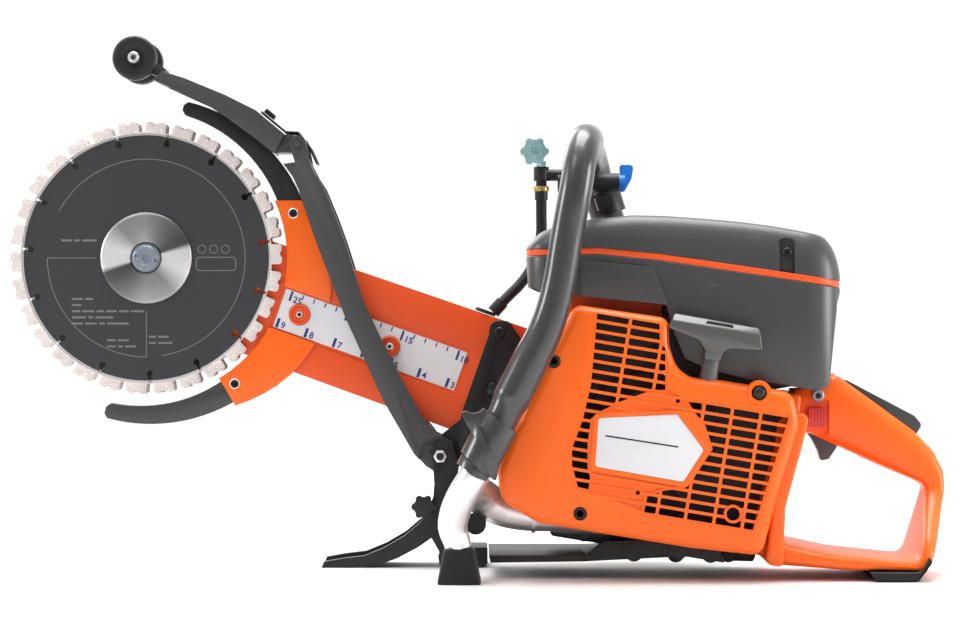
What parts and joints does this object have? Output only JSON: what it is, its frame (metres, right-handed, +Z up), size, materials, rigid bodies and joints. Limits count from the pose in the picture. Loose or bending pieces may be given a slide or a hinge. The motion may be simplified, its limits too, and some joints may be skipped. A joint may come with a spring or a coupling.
{
  "type": "rescue saw",
  "caption": "Hand-held petrol rescue saw with paired thin cutting discs on a long belt-driven arm, a hinged roller guide bar, wrap-around front handle and looped rear handle.",
  "frame": {"origin": "on the floor, under the middle of the saw's bounding box", "axes": "+X from the discs towards the rear handle, +Y from the starter side to the belt side, +Z up"},
  "size_m": [0.7796, 0.262, 0.4476],
  "materials": {
    "orange_plastic": "satin",
    "orange_paint": "satin",
    "grey_plastic": "matte",
    "grip_rubber": "matte",
    "black_plastic": "matte",
    "black_rubber": "matte",
    "black_paint": "satin",
    "disc_steel": "satin",
    "diamond_matrix": "rough",
    "brushed_steel": "brushed",
    "cast_alloy": "satin",
    "dark_alloy": "rough",
    "white_label": "gloss",
    "filter_foam": "soft",
    "rope_fibre": "woven",
    "clear_teal": "translucent gloss",
    "blue_plastic": "satin",
    "red_plastic": "satin"
  },
  "bodies": {
    "frame": {"crankcase": "dark_alloy", "cylinder_block": "dark_alloy", "cylinder_shroud": "orange_paint", "muffler": "black_paint", "carburettor": "dark_alloy", "air_filter": "filter_foam", "filter_cover": "grey_plastic", "cover_stripe": "orange_plastic", "engine_cover": "grey_plastic", "starter_housing": "orange_plastic", "starter_badge": "white_label", "screws": "black_paint", "belly_pan": "black_plastic", "rear_handle": "orange_plastic", "rear_foot": "black_rubber", "front_handle": "grip_rubber", "handle_clamp": "grey_plastic", "front_leg": "cast_alloy", "front_foot": "black_rubber", "frame_tube": "cast_alloy", "arm_shell_near": "orange_paint", "arm_shell_far": "orange_paint", "wing_guard": "orange_plastic", "upper_blade_guard": "black_plastic", "lower_blade_guard": "black_plastic", "scale_plate": "white_label", "arm_bracket": "black_paint", "drive_belt": "black_rubber", "disc_bearings": "brushed_steel", "clutch_cover": "grey_plastic", "stand_shoe": "black_plastic", "guard_pivot_bolt": "brushed_steel", "water_hose": "black_rubber", "hose_fittings": "black_plastic", "tap_body": "black_plastic", "water_connector": "clear_teal", "vibration_dampers": "brushed_steel", "starter_rope": "rope_fibre"},
    "disc_shaft": {"near_disc": "disc_steel", "far_disc": "disc_steel", "diamond_segments": "diamond_matrix", "disc_flanges": "brushed_steel", "disc_spindle": "brushed_steel", "driven_pulley": "dark_alloy"},
    "clutch_drum": {"drive_pulley": "dark_alloy"},
    "crank": {"crankshaft": "brushed_steel", "flywheel": "dark_alloy"},
    "recoil_pulley": {"rope_pulley": "black_plastic"},
    "pull_grip": {"starter_grip": "grip_rubber"},
    "trigger": {"throttle_trigger": "grey_plastic"},
    "lockout": {"throttle_lockout": "grey_plastic"},
    "stop_slider": {"stop_switch": "red_plastic"},
    "primer": {"primer_bulb": "black_rubber"},
    "tap_lever": {"tap_knob": "blue_plastic"},
    "tank_cap": {"fuel_cap": "black_plastic"},
    "shoe_clamp": {"shoe_knob": "black_plastic"},
    "guide_lower": {"guide_bar_lower": "grey_plastic"},
    "guide_upper": {"guide_bar_upper": "grey_plastic", "hinge_strap": "black_rubber"},
    "rollers": {"guide_rollers": "black_plastic"}
  },
  "joints": [
    {"name": "disc_spin", "type": "hinge", "parent": "frame", "child": "disc_shaft", "pos_m": [-0.275, 0.062, 0.261], "axis": [0, 1, 0], "continuous": true},
    {"name": "drum_spin", "type": "hinge", "parent": "frame", "child": "clutch_drum", "pos_m": [0.14259, 0.062, 0.11312], "axis": [0, 1, 0], "continuous": true},
    {"name": "crank_spin", "type": "hinge", "parent": "frame", "child": "crank", "pos_m": [0.14259, 0, 0.11312], "axis": [0, 1, 0], "continuous": true},
    {"name": "starter_pull", "type": "slide", "parent": "frame", "child": "pull_grip", "axis": [0.165, 0, 0.9863], "range_m": [0, 0.6], "stiffness_N_per_m": 15, "springref_m": -0.3, "deforming": ["starter_rope"]},
    {"name": "recoil_pulley_turn", "type": "hinge", "parent": "frame", "child": "recoil_pulley", "pos_m": [0.14259, -0.087, 0.11312], "axis": [0, 1, 0], "range_deg": [-905, 0]},
    {"name": "trigger_squeeze", "type": "hinge", "parent": "frame", "child": "trigger", "pos_m": [0.294, -0.002, 0.136], "axis": [0, -1, 0], "range_deg": [0, 18], "stiffness_Nm_per_rad": 0.2, "springref_deg": -28.65},
    {"name": "lockout_press", "type": "hinge", "parent": "frame", "child": "lockout", "pos_m": [0.308, -0.002, 0.152], "axis": [0, 1, 0], "range_deg": [0, 8], "stiffness_Nm_per_rad": 0.15, "springref_deg": -22.92},
    {"name": "stop_switch_slide", "type": "slide", "parent": "frame", "child": "stop_slider", "axis": [0, 0, 1], "range_m": [-0.004, 0.003]},
    {"name": "primer_press", "type": "slide", "parent": "frame", "child": "primer", "axis": [0, 1, 0], "range_m": [0, 0.004], "stiffness_N_per_m": 60, "springref_m": -0.004},
    {"name": "tap_turn", "type": "hinge", "parent": "frame", "child": "tap_lever", "pos_m": [0.126, 0.078, 0.326], "axis": [1, 0, 0], "range_deg": [0, 90]},
    {"name": "fuel_cap_turn", "type": "hinge", "parent": "frame", "child": "tank_cap", "pos_m": [0.22, 0.041, 0.062], "axis": [0, 1, 0], "range_deg": [0, 180]},
    {"name": "shoe_knob_turn", "type": "hinge", "parent": "frame", "child": "shoe_clamp", "pos_m": [-0.04, 0.03, 0.052], "axis": [0, 1, 0], "range_deg": [0, 360]},
    {"name": "guide_swing", "type": "hinge", "parent": "frame", "child": "guide_lower", "pos_m": [-0.026, 0.062, 0.094], "axis": [0, 1, 0], "range_deg": [0, 30]},
    {"name": "guide_flex", "type": "hinge", "parent": "guide_lower", "child": "guide_upper", "pos_m": [-0.146, 0.062, 0.357], "axis": [0, 1, 0], "range_deg": [0, 20], "stiffness_Nm_per_rad": 1.5, "springref_deg": -14.32, "deforming": ["hinge_strap"]},
    {"name": "roller_spin", "type": "hinge", "parent": "guide_upper", "child": "rollers", "pos_m": [-0.283, 0.062, 0.429], "axis": [0, 1, 0], "continuous": true}
  ],
  "couplings": [
    {"joint": "drum_spin", "follows": "disc_spin", "ratio": 1.2727},
    {"joint": "recoil_pulley_turn", "follows": "starter_pull", "rad_per_m": -26.316}
  ]
}
